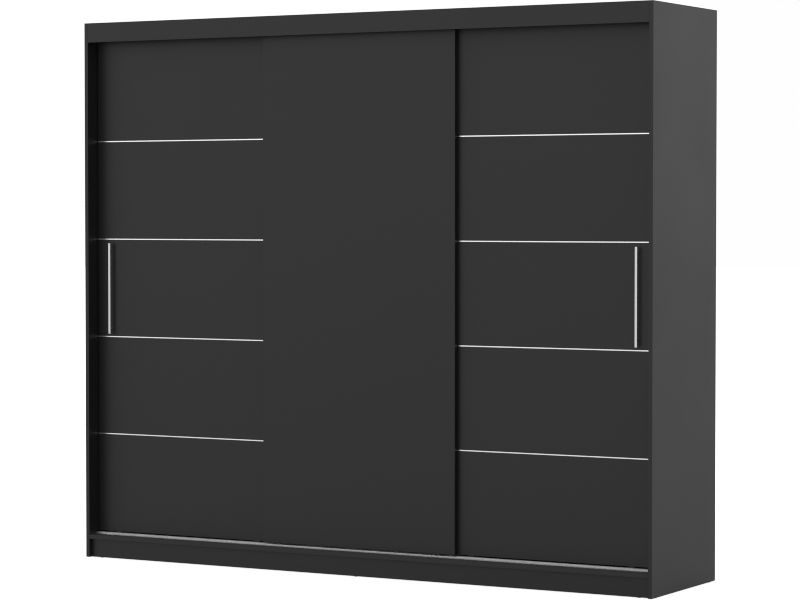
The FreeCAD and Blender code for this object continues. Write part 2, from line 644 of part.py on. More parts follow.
def make_back_panels(holes):
    """Three thin back panels that meet on the partitions."""
    edge = "(" + INSIDE + " - sizes.back_side_gap)"
    partition_middle = "(" + PARTITION_IN + " + sizes.board / 2)"
    near = "(" + partition_middle + " - sizes.back_joint / 2)"
    far = "(" + partition_middle + " + sizes.back_joint / 2)"
    bottom = "(sizes.plinth_height + sizes.back_margin)"
    height = "(sizes.overall_height - sizes.back_margin - " + bottom + ")"
    plan = [
        ("back_panel_left", "-" + edge, "(" + edge + " - " + far + ")", [holes[0]]),
        ("back_panel_middle", "-" + near, "(2 * " + near + ")", []),
        ("back_panel_right", far, "(" + edge + " - " + far + ")", [holes[1]]),
    ]
    for name, low_x, width, drilled in plan:
        sheet_panel = box(name + "_sheet", (low_x, REAR, bottom), (width, "sizes.back_thickness", height))
        if drilled:
            sheet_panel = cut(name + "_drilled", sheet_panel, drilled)
        node(sheet_panel, name)


def make_hanging_rails(screws):
    """A round rail in each side bay, held at both ends by a bracket with a collar."""
    brackets = []
    for name, start, axis in rail_ends():
        plate = cylinder(name + "_plate", start, axis, "sizes.bracket_radius", "sizes.bracket_plate")
        face = moved(start, axis, "sizes.bracket_plate")
        bore = "(sizes.rail_radius + sizes.rail_fit)"
        outside = "(" + bore + " + sizes.bracket_wall)"
        collar = cylinder(name + "_collar", face, axis, outside, "sizes.bracket_collar")
        opening = cylinder(name + "_opening", face, axis, bore, "(2 * sizes.bracket_collar)")
        blank = fuse(name + "_blank", [plate, collar])
        brackets.append(cut(name + "_bracket", blank, [opening, screws]))
    node(group("rail_brackets", brackets), "rail_brackets")
    length = "(" + BAY_WIDTH + " - 2 * sizes.bracket_plate)"
    inner = "(sizes.rail_radius - sizes.rail_wall)"
    for side, (name, start, axis) in (("left", rail_ends()[0]), ("right", rail_ends()[2])):
        face = moved(start, axis, "sizes.bracket_plate")
        outside = cylinder(side + "_rail_outside", face, axis, "sizes.rail_radius", length)
        inside = cylinder(side + "_rail_inside", face, axis, inner, length)
        node(cut(side + "_rail_tube", outside, [inside]), side + "_hanging_rail")


# ---------------------------------------------------------------------------------------------
# Doors
# ---------------------------------------------------------------------------------------------
def make_trim_strips(door, low_x, face):
    """The metal strips let into the face of a door."""
    strips = []
    for index in range(STRIPS_PER_DOOR):
        middle = "(%s + sizes.lowest_strip + %d * sizes.strip_pitch)" % (DOOR_BOTTOM, index)
        low = (low_x, "(" + face + " - sizes.strip_proud)", "(" + middle + " - sizes.strip_height / 2)")
        size = (DOOR_WIDTH, "sizes.strip_thickness", "sizes.strip_height")
        strips.append(box("%s_strip_%d" % (door, index), low, size))
    return node(group(door + "_strips", strips), door + "_trim_strips")


def make_handle(door, low_x, face, outer):
    """A flat bar on two posts, near the outer edge of a door, beside its middle panel."""
    centre_panel = (STRIPS_PER_DOOR - 1) / 2
    rise = "sizes.lowest_strip + %s * sizes.strip_pitch - sizes.handle_drop" % centre_panel
    middle = "(" + DOOR_BOTTOM + " + " + rise + ")"
    if outer == "left":
        bar_x = "(" + low_x + " + sizes.handle_inset)"
    else:
        bar_x = "(" + low_x + " + " + DOOR_WIDTH + " - sizes.handle_inset - sizes.handle_width)"
    bar_y = "(" + face + " - sizes.handle_gap - sizes.handle_depth)"
    low = (bar_x, bar_y, "(" + middle + " - sizes.handle_length / 2)")
    size = ("sizes.handle_width", "sizes.handle_depth", "sizes.handle_length")
    rounded = ("x0", "x1", "y0", "y1", "z0", "z1")
    node(board(door + "_bar", low, size, "sizes.handle_round", rounded), door + "_handle_bar")
    posts = []
    for index, axis in enumerate(("-z", "+z")):
        centre = ("(" + bar_x + " + sizes.handle_width / 2)", face, middle)
        start = moved(centre, axis, "(sizes.handle_length / 2 - sizes.post_inset)")
        posts.append(cylinder("%s_post_%d" % (door, index), start, "-y", "sizes.post_radius",
                              "sizes.handle_gap"))
    node(group(door + "_posts", posts), door + "_handle_posts")


def wheel_corners():
    """Half section of a grooved wheel, as (radius, along its axle)."""
    half = "sizes.wheel_width / 2"
    bore = "(sizes.axle_radius + sizes.running_fit)"
    rim = "(sizes.wheel_radius + sizes.wheel_flange)"
    groove = "(sizes.rib_width / 2 + sizes.rib_play)"
    shoulder = "(" + groove + " + sizes.groove_slope)"
    side = "(" + half + " - sizes.wheel_chamfer)"
    inner_rim = "(" + rim + " - sizes.wheel_chamfer)"
    upper = [(bore, half), (inner_rim, half), (rim, side), (rim, shoulder), ("sizes.wheel_radius", groove)]
    lower = [(radius, "-(" + along + ")") for radius, along in reversed(upper)]
    return upper + lower


def roller_corners():
    """Half section of a guide roller, as (radius, height)."""
    bore = "(sizes.guide_pin_radius + sizes.running_fit)"
    chamfered = "(" + ROLLER_RADIUS + " - sizes.wheel_chamfer)"
    return [
        (bore, ZERO),
        (chamfered, ZERO),
        (ROLLER_RADIUS, "sizes.wheel_chamfer"),
        (ROLLER_RADIUS, "(sizes.roller_height - sizes.wheel_chamfer)"),
        (chamfered, "sizes.roller_height"),
        (bore, "sizes.roller_height"),
    ]


def make_housing(name, centre_x, pocket):
    """The block round a wheel: open at the bottom, with the axle through both walls."""
    low = ("(" + centre_x + " - sizes.housing_length / 2)", pocket, DOOR_BOTTOM)
    block = box(name + "_block", low, ("sizes.housing_length", RUNNER_DEPTH, "sizes.housing_height"))
    reach = "(sizes.wheel_radius + sizes.wheel_flange + sizes.wheel_room)"
    width = "(sizes.wheel_width + 2 * sizes.side_play)"
    slot_y = "(" + pocket + " + (" + RUNNER_DEPTH + " - " + width + ") / 2)"
    slot_low = ("(" + centre_x + " - " + reach + ")", slot_y, "(" + DOOR_BOTTOM + " - sizes.wheel_room)")
    slot_height = "(" + AXLE_HEIGHT + " + " + reach + " - " + DOOR_BOTTOM + " + sizes.wheel_room)"
    slot = box(name + "_slot", slot_low, ("(2 * " + reach + ")", width, slot_height))
    axle_start = (centre_x, "(" + pocket + " + sizes.axle_recess)", AXLE_HEIGHT)
    axle_length = "(" + RUNNER_DEPTH + " - 2 * sizes.axle_recess)"
    axle = cylinder(name + "_axle", axle_start, "+y", "sizes.axle_radius", axle_length)
    return block, cut(name, block, [slot, axle]), axle


def make_guide_block(name, centre_x, pocket):
    """The block at the top of a door, with a shoulder and a headed pin for the guide roller."""
    low = ("(" + centre_x + " - sizes.block_length / 2)", pocket, "(" + DOOR_TOP + " - sizes.block_height)")
    body = box(name + "_body", low, ("sizes.block_length", RUNNER_DEPTH, "sizes.block_height"))
    axis_y = "(" + pocket + " + " + RUNNER_DEPTH + " / 2)"
    collar_height = "(sizes.roller_lift - sizes.roller_float)"
    top = (centre_x, axis_y, DOOR_TOP)
    collar = cylinder(name + "_collar", top, "+z", "sizes.collar_radius", collar_height)
    pin_height = "(sizes.roller_lift + sizes.roller_height + sizes.roller_float)"
    pin = cylinder(name + "_pin", top, "+z", "sizes.guide_pin_radius", pin_height)
    head_start = moved(top, "+z", pin_height)
    head_radius = "(sizes.guide_pin_radius + sizes.guide_head)"
    head = cylinder(name + "_head", head_start, "+z", head_radius, "sizes.guide_head_height")
    return body, fuse(name, [body, collar, pin, head])


def make_door(door, low_x, face, outer):
    """One door with its runners; an outer door has trim strips and a handle too."""
    pocket = "(" + face + " + sizes.door_skin)"
    runner_y = "(" + face + " + " + RUNNER_FROM_FACE + ")"
    near = "(" + low_x + " + sizes.runner_inset)"
    far = "(" + low_x + " + " + DOOR_WIDTH + " - sizes.runner_inset)"
    size = (DOOR_WIDTH, "sizes.door_thickness", "(" + DOOR_TOP + " - " + DOOR_BOTTOM + ")")
    rounded = ("x0", "x1", "y0", "y1", "z0", "z1")
    blank = board(door + "_blank", (low_x, face, DOOR_BOTTOM), size, "sizes.door_round", rounded)
    cutters = []
    housings = []
    axles = []
    blocks = []
    for index, centre_x in enumerate((near, far), start=1):
        outside, housing, axle = make_housing("%s_housing_%d" % (door, index), centre_x, pocket)
        body, block = make_guide_block("%s_guide_block_%d" % (door, index), centre_x, pocket)
        cutters += [outside, body]
        housings.append(housing)
        axles.append(axle)
        blocks.append(block)
        wheel = turned("%s_wheel_body_%d" % (door, index), wheel_corners(), "+y",
                       (centre_x, runner_y, AXLE_HEIGHT))
        node(wheel, "%s_wheel_%d" % (door, index))
        roller = turned("%s_roller_body_%d" % (door, index), roller_corners(), "+z",
                        (centre_x, runner_y, ROLLER_BOTTOM))
        node(roller, "%s_guide_roller_%d" % (door, index))
    if outer:
        cutters.append(make_trim_strips(door, low_x, face))
        make_handle(door, low_x, face, outer)
    node(cut(door + "_cut", blank, cutters), door + "_panel")
    node(group(door + "_housings", housings), door + "_roller_housings")
    node(group(door + "_axles", axles), door + "_roller_axles")
    node(group(door + "_blocks", blocks), door + "_guide_blocks")


def make_doors():
    """Two outer doors on the rear track and the middle door on the front track."""
    left = "(-" + INSIDE + " + sizes.door_side_gap)"
    right = "(" + INSIDE + " - sizes.door_side_gap - " + DOOR_WIDTH + ")"
    middle = "(-" + DOOR_WIDTH + " / 2 - sizes.middle_offset)"
    make_door("left_door", left, REAR_FACE, "left")
    make_door("middle_door", middle, FRONT_FACE, "")
    make_door("right_door", right, REAR_FACE, "right")


# ---------------------------------------------------------------------------------------------
# Build, check and write
# ---------------------------------------------------------------------------------------------
def build():
    """Make every sub-part of the wardrobe."""
    pins = make_shelves()
    screws = make_screws()
    locks, dowels = make_connectors()
    make_carcass([screws, locks, dowels, pins])
    make_glides()
    make_back_panels(make_wall_brackets(screws))
    make_hanging_rails(screws)
    make_tracks(screws)
    make_doors()
    document.recompute()


def check():
    """Stop if any object failed or any sub-part has no sound shape."""
    for thing in document.Objects:
        if "Invalid" in thing.State or "Error" in thing.State:
            raise RuntimeError("%s failed: %s" % (thing.Name, thing.State))
    for part in sub_parts:
        if part.Shape.isNull() or not part.Shape.isValid() or not part.Shape.Solids:
            raise RuntimeError("%s has no sound shape" % part.Label)


def write():
    """Write each sub-part to a STEP file of its own."""
    os.makedirs("parts", exist_ok=True)
    for part in sub_parts:
        part.Shape.exportStep("parts/%s.step" % part.Label)


build()
check()
write()
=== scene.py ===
"""Sliding-door wardrobe: finishes, small fittings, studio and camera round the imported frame.

Lengths are metres. +X runs along the width, +Y from the front to the back and +Z up.
"""

from __future__ import annotations

import json
import logging
import math
from dataclasses import dataclass
from enum import Enum

import bmesh
import bpy
from mathutils import Euler, Matrix, Vector

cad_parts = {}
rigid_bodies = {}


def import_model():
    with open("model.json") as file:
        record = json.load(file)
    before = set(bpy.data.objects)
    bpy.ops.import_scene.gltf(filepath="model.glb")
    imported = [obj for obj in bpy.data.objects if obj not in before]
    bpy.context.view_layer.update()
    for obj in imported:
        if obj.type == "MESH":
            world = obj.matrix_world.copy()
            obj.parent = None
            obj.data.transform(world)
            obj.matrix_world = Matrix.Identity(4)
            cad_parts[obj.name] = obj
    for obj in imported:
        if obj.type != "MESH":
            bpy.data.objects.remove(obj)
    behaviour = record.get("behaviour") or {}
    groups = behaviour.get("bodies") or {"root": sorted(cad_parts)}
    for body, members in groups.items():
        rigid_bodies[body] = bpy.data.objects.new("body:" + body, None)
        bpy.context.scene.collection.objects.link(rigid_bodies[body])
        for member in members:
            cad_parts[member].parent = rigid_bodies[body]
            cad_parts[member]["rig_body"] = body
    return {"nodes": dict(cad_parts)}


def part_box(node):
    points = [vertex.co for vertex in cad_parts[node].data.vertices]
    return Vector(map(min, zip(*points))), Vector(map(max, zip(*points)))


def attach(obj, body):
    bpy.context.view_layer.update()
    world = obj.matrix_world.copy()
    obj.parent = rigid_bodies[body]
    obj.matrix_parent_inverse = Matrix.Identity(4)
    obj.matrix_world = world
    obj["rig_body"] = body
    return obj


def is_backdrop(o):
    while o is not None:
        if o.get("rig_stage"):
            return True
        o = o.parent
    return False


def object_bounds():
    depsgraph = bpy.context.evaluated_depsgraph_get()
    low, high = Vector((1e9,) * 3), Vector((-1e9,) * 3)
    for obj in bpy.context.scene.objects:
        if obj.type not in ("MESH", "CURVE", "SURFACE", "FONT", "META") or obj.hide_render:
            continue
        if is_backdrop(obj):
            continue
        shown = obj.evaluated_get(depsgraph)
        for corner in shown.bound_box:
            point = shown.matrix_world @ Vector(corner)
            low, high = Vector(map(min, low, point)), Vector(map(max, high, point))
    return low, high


LOG = logging.getLogger("wardrobe")
MM = 0.001

Number = float | int
Colour = tuple[float, float, float, float]


# ---------------------------------------------------------------------------------------------
# Shader maths
# ---------------------------------------------------------------------------------------------
class Value:
    """A number that varies over a surface: the output socket of a node."""

    def __init__(self, nodes: "NodeWriter", socket: bpy.types.NodeSocket) -> None:
        """Wraps a socket.

        Args:
            nodes: The writer of the material that the socket belongs to.
            socket: An output socket.
        """
        self.nodes = nodes
        self.socket = socket

    def _math(self, operation: str, *operands: "Value | Number") -> "Value":
        """Adds one Math node.

        Args:
            operation: The Math node's operation.
            operands: Its inputs, in order.

        Returns:
            The node's result.
        """
        return self.nodes.add("ShaderNodeMath", {"operation": operation}, dict(enumerate(operands)))

    def __add__(self, other: "Value | Number") -> "Value":
        """self + other."""
        return self._math("ADD", self, other)

    __radd__ = __add__

    def __mul__(self, other: "Value | Number") -> "Value":
        """self * other."""
        return self._math("MULTIPLY", self, other)

    __rmul__ = __mul__

    def __sub__(self, other: "Value | Number") -> "Value":
        """self - other."""
        return self._math("SUBTRACT", self, other)

    def __rsub__(self, other: "Value | Number") -> "Value":
        """other - self."""
        return self._math("SUBTRACT", other, self)

    def ramp(self, low: Number, high: Number) -> "Value":
        """Turns low..high into 0..1, clamped.

        Args:
            low: The value that becomes 0.
            high: The value that becomes 1.

        Returns:
            The remapped value.
        """
        inputs = {"Value": self, "From Min": low, "From Max": high}
        return self.nodes.add("ShaderNodeMapRange", {"clamp": True}, inputs)


class NodeWriter:
    """Writes the nodes of one material."""

    def __init__(self, name: str) -> None:
        """Starts a material with one Principled shader.

        Args:
            name: The material's name.
        """
        self.material = bpy.data.materials.new(name)
        self.material.use_nodes = True
        self.tree = self.material.node_tree
        self.shader = self.tree.nodes["Principled BSDF"]

    def add(
        self,
        kind: str,
        settings: dict[str, object] | None = None,
        inputs: dict[str | int, object] | None = None,
        output: str | int = 0,
    ) -> Value:
        """Adds a node of any type.

        Args:
            kind: The node's type.
            settings: Attributes of the node, set before its inputs.
            inputs: Values or links for its input sockets, by name or place.
            output: The output socket to hand back.

        Returns:
            The chosen output.
        """
        node = self.tree.nodes.new(kind)
        for key, setting in (settings or {}).items():
            setattr(node, key, setting)
        for key, value in (inputs or {}).items():
            self.feed(node.inputs[key], value)
        return Value(self, node.outputs[output])

    def feed(self, socket: bpy.types.NodeSocket, value: object) -> None:
        """Links a Value to an input socket, or sets a constant on it.

        Args:
            socket: The input socket.
            value: A Value or a constant.
        """
        if isinstance(value, Value):
            self.tree.links.new(value.socket, socket)
        else:
            socket.default_value = value

    def surface(self, **sockets: object) -> None:
        """Sets the Principled shader's sockets; an underscore in a name stands for a space."""
        for key, value in sockets.items():
            self.feed(self.shader.inputs[key.replace("_", " ")], value)

    def place(self, stretch: tuple[float, float, float] = (1.0, 1.0, 1.0)) -> Value:
        """The point on the object, scaled along its axes.

        Args:
            stretch: Scale along X, Y and Z.

        Returns:
            The scaled coordinates.
        """
        point = self.add("ShaderNodeTexCoord", output="Object")
        return self.add("ShaderNodeMapping", None, {"Vector": point, "Scale": stretch})

    def noise(self, where: Value, scale: float, detail: float = 2.0, rough: float = 0.5) -> Value:
        """Noise between 0 and 1.

        Args:
            where: Coordinates in metres.
            scale: Features for each metre.
            detail: Octaves.
            rough: Share of the finer octaves.

        Returns:
            The noise.
        """
        inputs = {"Vector": where, "Scale": scale, "Detail": detail, "Roughness": rough}
        return self.add("ShaderNodeTexNoise", {"normalize": True}, inputs)

    def blend(self, share: Value | Number, low: object, high: object) -> Value:
        """Mixes two colours.

        Args:
            share: 0 gives the low colour and 1 the high one.
            low: A colour or a Value.
            high: A colour or a Value.

        Returns:
            The mixed colour.
        """
        node = self.tree.nodes.new("ShaderNodeMix")
        node.data_type = "RGBA"
        self.feed(node.inputs["Factor"], share)
        self.feed(node.inputs[6], low)
        self.feed(node.inputs[7], high)
        return Value(self, node.outputs[2])

    def bump(self, height: Value, depth: float) -> Value:
        """A normal bent by a height.

        Args:
            height: Height between 0 and 1.
            depth: What a height of 1 stands for, in metres.

        Returns:
            The normal.
        """
        inputs = {"Strength": 1.0, "Distance": depth, "Height": height}
        return self.add("ShaderNodeBump", None, inputs)


def grey(level: float) -> Colour:
    """A neutral colour of a linear level."""
    return (level, level, level, 1.0)


def deeper(tint: Colour, share: float) -> Colour:
    """A tint darkened to a share of its level."""
    return tuple(share * channel for channel in tint[:3]) + (1.0,)


# ---------------------------------------------------------------------------------------------
# Finishes
# ---------------------------------------------------------------------------------------------
@dataclass(frozen=True)
class Laminate:
    """Black melamine-faced board with a fine pearl emboss."""

    name: str
    shade: float = 0.006
    mottle: float = 0.12
    roughness: float = 0.42
    gloss: float = 0.40
    emboss: float = 0.03 * MM
    cloud_scale: float = 3.0
    fleck_scale: float = 420.0
    pearl_scale: float = 950.0
    cloud_haze: float = 0.04
    fleck_haze: float = 0.03

    def make(self) -> bpy.types.Material:
        """Builds the material.

        Returns:
            The material.
        """
        nodes = NodeWriter(self.name)
        where = nodes.place()
        clouds = nodes.noise(where, self.cloud_scale, 4.0)
        flecks = nodes.noise(where, self.fleck_scale, 3.0, 0.65)
        pearl = nodes.noise(where, self.pearl_scale, 1.0)
        tone = clouds * 0.5 + flecks * 0.5
        low = grey(self.shade * (1.0 - self.mottle))
        high = grey(self.shade * (1.0 + self.mottle))
        middle = self.roughness - (self.cloud_haze + self.fleck_haze) / 2
        rough = clouds.ramp(0.3, 0.7) * self.cloud_haze + flecks * self.fleck_haze + middle
        nodes.surface(
            Base_Color=nodes.blend(tone, low, high),
            Roughness=rough,
            Specular_IOR_Level=self.gloss,
            Normal=nodes.bump(pearl, self.emboss),
        )
        return nodes.material


@dataclass(frozen=True)
class Metal:
    """Metal with fine drawing lines along one axis."""

    name: str
    tint: Colour
    roughness: float
    along: tuple[float, float, float]
    lines: float = 2600.0
    depth: float = 0.004 * MM
    spread: float = 0.08
    haze_scale: float = 14.0
    top_haze: float = 0.0
    top_matt: float = 0.0

    def make(self) -> bpy.types.Material:
        """Builds the material.

        Returns:
            The material.
        """
        nodes = NodeWriter(self.name)
        drawn = nodes.noise(nodes.place(self.along), self.lines, 2.0)
        haze = nodes.noise(nodes.place(), self.haze_scale, 3.0)
        middle = self.roughness - 0.75 * self.spread
        rough = drawn * self.spread + haze * (self.spread * 0.5) + middle
        metal = 1.0
        if self.top_haze:
            normal = nodes.add("ShaderNodeTexCoord", output="Normal")
            height = nodes.add("ShaderNodeSeparateXYZ", None, {"Vector": normal}, "Z")
            upwards = height.ramp(0.5, 0.9)
            rough = rough + upwards * self.top_haze
            metal = 1.0 - upwards * self.top_matt
        nodes.surface(
            Base_Color=nodes.blend(drawn, deeper(self.tint, 0.9), self.tint),
            Metallic=metal,
            Roughness=rough,
            Normal=nodes.bump(drawn, self.depth),
        )
        return nodes.material


@dataclass(frozen=True)
class Plastic:
    """Moulded plastic with a fine spark-eroded grain."""

    name: str
    tint: Colour
    roughness: float
    grain: float = 1500.0
    flow: float = 35.0
    pitting: float = 0.02 * MM

    def make(self) -> bpy.types.Material:
        """Builds the material.

        Returns:
            The material.
        """
        nodes = NodeWriter(self.name)
        where = nodes.place()
        grain = nodes.noise(where, self.grain, 2.0)
        flow = nodes.noise(where, self.flow, 2.0)
        nodes.surface(
            Base_Color=nodes.blend(flow * 0.6 + grain * 0.4, deeper(self.tint, 0.82), self.tint),
            Roughness=grain * 0.12 + (self.roughness - 0.06),
            Normal=nodes.bump(grain, self.pitting),
        )
        return nodes.material


@dataclass(frozen=True)
class Hardboard:
    """Thin brown fibreboard: smooth, with short fibres and darker flecks."""

    name: str
    pale: Colour = (0.20, 0.125, 0.070, 1.0)
    deep: Colour = (0.105, 0.060, 0.032, 1.0)
    fibre_scale: float = 620.0
    fleck_scale: float = 260.0
    relief: float = 0.05 * MM

    def make(self) -> bpy.types.Material:
        """Builds the material.

        Returns:
            The material.
        """
        nodes = NodeWriter(self.name)
        fibres = nodes.noise(nodes.place((1.0, 1.0, 0.35)), self.fibre_scale, 5.0, 0.7)
        clouds = nodes.noise(nodes.place(), 5.0, 4.0)
        flecks = nodes.noise(nodes.place(), self.fleck_scale, 2.0).ramp(0.62, 0.74)
        tone = fibres.ramp(0.25, 0.75) * 0.6 + clouds * 0.4
        plain = nodes.blend(tone, self.deep, self.pale)
        nodes.surface(
            Base_Color=nodes.blend(flecks * 0.55, plain, self.deep),
            Roughness=fibres * 0.18 + 0.52,
            Normal=nodes.bump(fibres, self.relief),
        )
        return nodes.material


class Axis(Enum):
    """The direction that a metal was drawn or brushed in, as noise scales along X, Y and Z."""

    X = (0.01, 1.0, 1.0)
    Z = (1.0, 1.0, 0.01)
    NONE = (1.0, 1.0, 1.0)


class Finishes:
    """Every material of the wardrobe, made once."""

    def __init__(self) -> None:
        """Makes the materials."""
        bright = (0.91, 0.915, 0.92, 1.0)
        matt = (0.66, 0.66, 0.665, 1.0)
        anodised = (0.86, 0.865, 0.87, 1.0)
        chrome = (0.75, 0.76, 0.77, 1.0)
        plated = (0.62, 0.63, 0.64, 1.0)
        cast = (0.50, 0.50, 0.51, 1.0)
        along, upright, even = Axis.X.value, Axis.Z.value, Axis.NONE.value
        self.laminate = Laminate("black_laminate").make()
        # A lighter, rougher copy of the black laminate for the bottom panel: its raised shade is
        # painted light that makes up for the sheen the rough finish loses.
        self.bottom_laminate_lit_copy = Laminate("black_base_laminate", shade=0.018, roughness=0.80).make()
        self.strip = Metal("polished_aluminium_strip", bright, 0.26, along).make()
        self.handle = Metal("brushed_aluminium_handle", matt, 0.34, upright).make()
        self.track = Metal(
            "anodised_aluminium_track", anodised, 0.24, along, top_haze=0.36, top_matt=0.65
        ).make()
        self.chrome = Metal("chromed_tube", chrome, 0.08, along).make()
        self.steel = Metal("zinc_plated_steel", plated, 0.34, even).make()
        self.zinc = Metal("die_cast_zinc", cast, 0.42, even, lines=900.0).make()
        self.hardboard = Hardboard("brown_hardboard").make()
        self.dark_plastic = Plastic("black_plastic", (0.022, 0.022, 0.023, 1.0), 0.5).make()
        self.pale_plastic = Plastic("white_nylon", (0.74, 0.74, 0.71, 1.0), 0.42).make()


# ---------------------------------------------------------------------------------------------
# Dressing the frame
# ---------------------------------------------------------------------------------------------
def dress(node: bpy.types.Object, material: bpy.types.Material) -> None:
    """Gives every slot of a frame node one material.

    Args:
        node: The frame's object.
        material: The finish.
    """
    if not node.material_slots:
        node.data.materials.append(material)
    for slot in node.material_slots:
        slot.material = material
    LOG.info("%s: %s", node.name, material.name)


def solids_of(node: bpy.types.Object) -> list[list[Vector]]:
    """Splits a node's mesh into its separate solids, in the same order each time.

    Args:
        node: A frame node.

    Returns:
        The corner points of each solid.
    """
    shape = bmesh.new()
    shape.from_mesh(node.data)
    bmesh.ops.remove_doubles(shape, verts=shape.verts, dist=1e-6)
    unseen = dict.fromkeys(shape.verts)
    solids = []
    while unseen:
        waiting = [unseen.popitem()[0]]
        points = []
        while waiting:
            corner = waiting.pop()
            points.append(corner.co.copy())
            for edge in corner.link_edges:
                other = edge.other_vert(corner)
                if other in unseen:
                    del unseen[other]
                    waiting.append(other)
        solids.append(points)
    shape.free()
    return solids


def span(points: list[Vector], axis: int) -> tuple[float, float]:
    """Lowest and highest coordinate of some points along an axis."""
    values = [point[axis] for point in points]
    return min(values), max(values)


def add_piece(
    name: str, shape: bmesh.types.BMesh, finish: bpy.types.Material, body: str
) -> bpy.types.Object:
    """Turns a finished shape into a piece that rides on a body.

    Args:
        name: The piece's name.
        shape: Its faces, freed here.
        finish: Its material.
        body: The body that it rides.

    Returns:
        The piece.
    """
    mesh = bpy.data.meshes.new(name)
    shape.to_mesh(mesh)
    shape.free()
    mesh.materials.append(finish)
    piece = bpy.data.objects.new(name, mesh)
    bpy.context.scene.collection.objects.link(piece)
    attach(piece, body)
    return piece


class Opening(Enum):
    """Which end of a round solid shows: the wide one, or the one set in the face of a board."""

    WIDE_END = "wide end"
    BOARD_FACE = "board face"


@dataclass
class RecessShadeCrosses:
    """Flat dark crosses of painted recess shade, one on each solid of a fixing node; they sit just
    proud of the end and stand in for the shaded cross recess, which is not cut in.
    """

    name: str
    node: bpy.types.Object
    opening: Opening
    reach: float
    arm: float
    finish: bpy.types.Material
    rise: float = 0.05 * MM
    taper: float = 0.72

    def ends(self) -> list[tuple[Vector, Vector]]:
        """Finds the middle and the outward direction of the end that shows on each solid.

        Returns:
            A point and a direction for each solid.
        """
        found = []
        for points in solids_of(self.node):
            spans = [span(points, axis) for axis in range(3)]
            sizes = [high - low for low, high in spans]
            middle = Vector([(low + high) / 2 for low, high in spans])
            if self.opening is Opening.WIDE_END:
                axis = sizes.index(max(sizes))
                low, high = spans[axis]
                breadth = []
                for level in (low, high):
                    ring = [point for point in points if abs(point[axis] - level) < 0.02 * MM]
                    low_side, high_side = span(ring, (axis + 1) % 3)
                    breadth.append(high_side - low_side)
                sign = 1 if breadth[1] > breadth[0] else -1
            else:
                axis = sizes.index(min(sizes))
                sign = -1 if axis == 2 or middle[axis] > 0 else 1
            direction = Vector((0.0, 0.0, 0.0))
            direction[axis] = sign
            middle[axis] = spans[axis][1 if sign > 0 else 0]
            found.append((middle, direction))
        return found

    def outline(self) -> list[tuple[float, float]]:
        """The corners of a cross whose arms narrow towards their tips.

        Returns:
            Twelve points round the origin.
        """
        half = self.arm / 2
        tip = half * self.taper
        corners = []
        for quarter in range(4):
            turn = Matrix.Rotation(quarter * math.pi / 2, 2)
            for out, across in ((half, half), (self.reach, tip), (self.reach, -tip)):
                corners.append(turn @ Vector((out, across)))
        ring = sorted(corners, key=lambda point: math.atan2(point.y, point.x))
        return [(point.x, point.y) for point in ring]

    def build(self, body: str, slot: str) -> bpy.types.Object:
        """Builds one mesh with all the crosses of painted recess shade.

        Args:
            body: The body that they ride.
            slot: The record's material slot; not used.

        Returns:
            The piece.
        """
        shape = bmesh.new()
        for place, outwards in self.ends():
            facing = outwards.to_track_quat("Z", "Y").to_matrix().to_4x4()
            seat = Matrix.Translation(place) @ facing
            rings = []
            for level in (-0.2 * self.rise, self.rise):
                corners = [seat @ Vector((x, y, level)) for x, y in self.outline()]
                rings.append([shape.verts.new(corner) for corner in corners])
            bottom, top = rings
            shape.faces.new(reversed(bottom))
            shape.faces.new(top)
            for index in range(len(bottom)):
                after = (index + 1) % len(bottom)
                shape.faces.new((bottom[index], bottom[after], top[after], top[index]))
        LOG.info("%s: %d recesses", self.name, len(self.ends()))
        return add_piece(self.name, shape, self.finish, body)


@dataclass
class Nails:
    """The round heads of the nails that hold the back panels to the boards."""

    finish: bpy.types.Material
    radius: float = 3.2 * MM
    rise: float = 0.04 * MM
    spacing: float = 150.0 * MM
    seam_gap: float = 4.5 * MM
    rim_shift: float = 2.5 * MM
    sides: int = 14

    def steps(self, low: float, high: float) -> list[float]:
        """Spaces nails evenly along a board.

        Args:
            low: Where the board begins.
            high: Where it ends.

        Returns:
            The middle of each nail.
        """
        count = round((high - low) / self.spacing)
        return [low + (index + 0.5) * (high - low) / count for index in range(count)]

    def places(self) -> list[tuple[float, float]]:
        """Lists the nails along the partitions, the top and the bottom.

        Returns:
            X and Z of each nail.
        """
        found = []
        for name in ("left_partition", "right_partition"):
            low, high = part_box(name)
            for sign in (-1, 1):
                across = (low[0] + high[0]) / 2 + sign * self.seam_gap
                found += [(across, level) for level in self.steps(low[2], high[2])]
        for name, shift in (("top_panel", -self.rim_shift), ("bottom_panel", self.rim_shift)):
            low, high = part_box(name)
            level = (low[2] + high[2]) / 2 + shift
            found += [(across, level) for across in self.steps(low[0], high[0])]
        return found

    def build(self, body: str, slot: str) -> bpy.types.Object:
        """Builds one mesh with all the nail heads.

        Args:
            body: The body that they ride.
            slot: The record's material slot; not used.

        Returns:
            The piece.
        """
        shape = bmesh.new()
        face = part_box("back_panel_middle")[1][1]
        for across, level in self.places():
            rings = []
            for share, out in ((1.0, -0.5), (0.92, 0.4), (0.5, 0.9)):
                ring = []
                reach = share * self.radius
                for index in range(self.sides):
                    turn = 2 * math.pi * index / self.sides
                    x, z = across + reach * math.cos(turn), level + reach * math.sin(turn)
                    ring.append(shape.verts.new((x, face + out * self.rise, z)))
                rings.append(ring)
            crown = shape.verts.new((across, face + self.rise, level))
            for index in range(self.sides):
                after = (index + 1) % self.sides
                for inner, outer in zip(rings, rings[1:]):
                    shape.faces.new((inner[after], inner[index], outer[index], outer[after]))
                shape.faces.new((rings[-1][after], rings[-1][index], crown))
            shape.faces.new(rings[0])
        bmesh.ops.recalc_face_normals(shape, faces=shape.faces)
        LOG.info("back_panel_nails: %d heads", len(self.places()))
        return add_piece("back_panel_nails", shape, self.finish, body)


